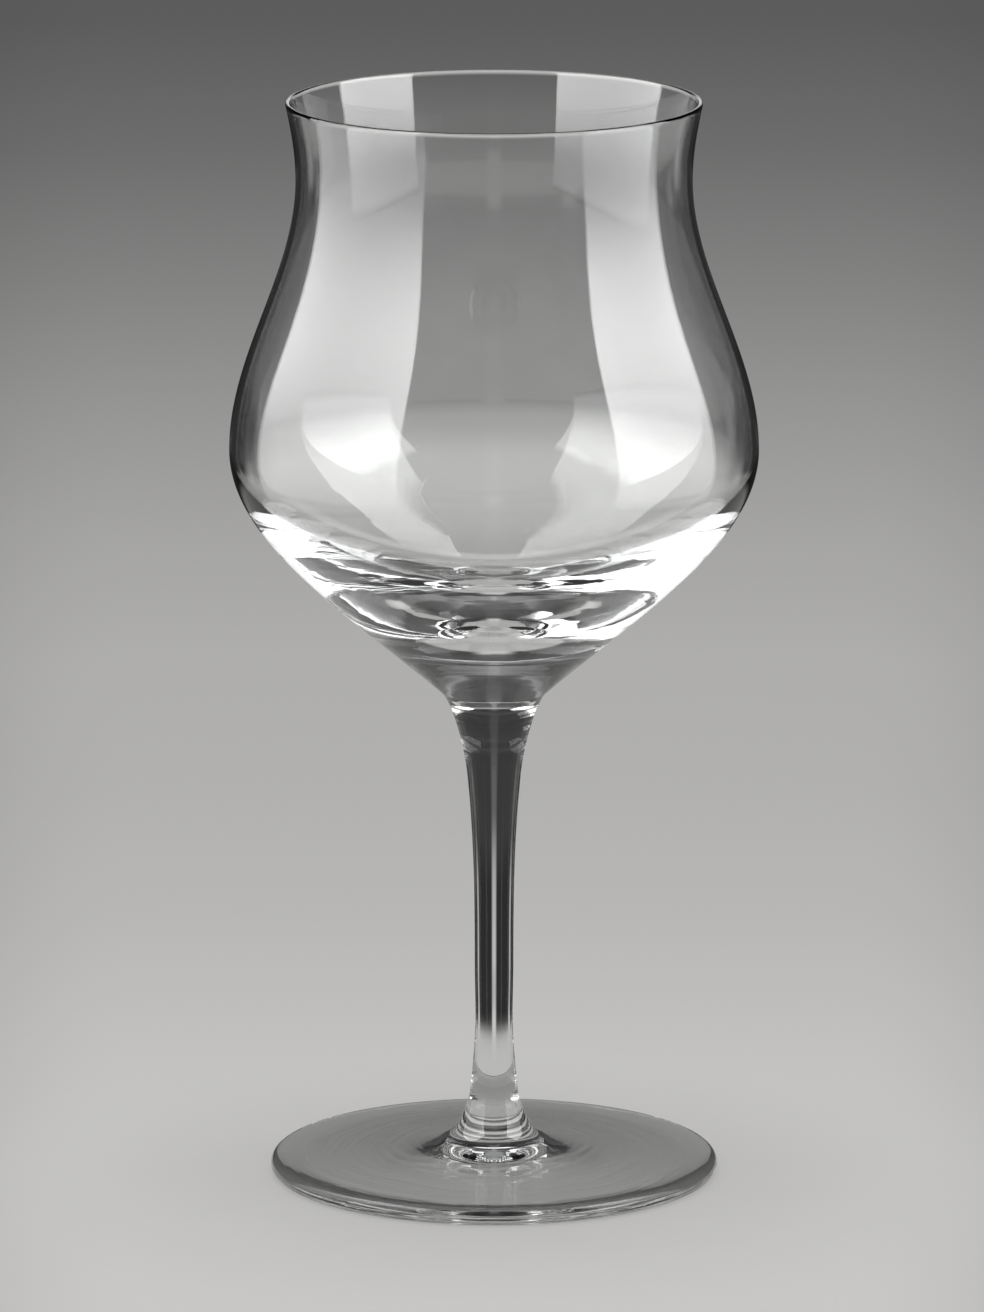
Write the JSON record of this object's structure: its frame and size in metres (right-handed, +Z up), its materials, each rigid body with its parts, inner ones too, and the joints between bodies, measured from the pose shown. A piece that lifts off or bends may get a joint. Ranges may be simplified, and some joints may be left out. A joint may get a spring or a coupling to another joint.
{
  "type": "gin glass",
  "caption": "Clear stemmed gin glass: full tulip bowl drawn in to a waist under a flared thin lip, slim stem spreading at both ends, flat round foot.",
  "frame": {"origin": "centre of the circle that the foot stands on, in the plane of the table", "axes": "+Z up along the axis of the stem, from the foot to the lip; X and Y are alike, because the glass is turned"},
  "size_m": [0.1016, 0.1016, 0.21],
  "materials": {
    "bowl_glass": "clear fire-polished crystal, faint blown striations",
    "stem_glass": "clear drawn crystal, faint lengthwise drawing",
    "foot_glass": "clear pressed and spun crystal, faint rings"
  },
  "bodies": {
    "root": {"bowl": "bowl_glass", "stem": "stem_glass", "foot": "foot_glass"}
  },
  "joints": []
}
